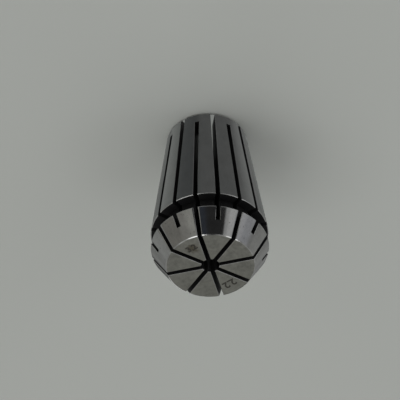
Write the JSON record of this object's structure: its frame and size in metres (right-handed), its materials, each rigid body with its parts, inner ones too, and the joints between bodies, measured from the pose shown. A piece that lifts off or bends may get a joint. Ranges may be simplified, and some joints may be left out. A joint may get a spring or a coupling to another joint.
{
  "type": "spring collet",
  "caption": "One-piece slotted spring collet with an 8 degree locating taper, a nut groove and a 30 degree nose, which grips a straight shank in its bore.",
  "frame": {"origin": "centre of the small back end, on the surface that the collet stands on", "axes": "+Z along the collet's axis, from the small back end to the front face"},
  "size_m": [0.021, 0.021, 0.0315],
  "materials": {
    "ground_steel": "hardened spring steel, ground on the tapers, nose and face, and left dark from heat treatment in the groove, slots and holes"
  },
  "bodies": {
    "root": {"collet": "ground_steel"}
  },
  "joints": []
}
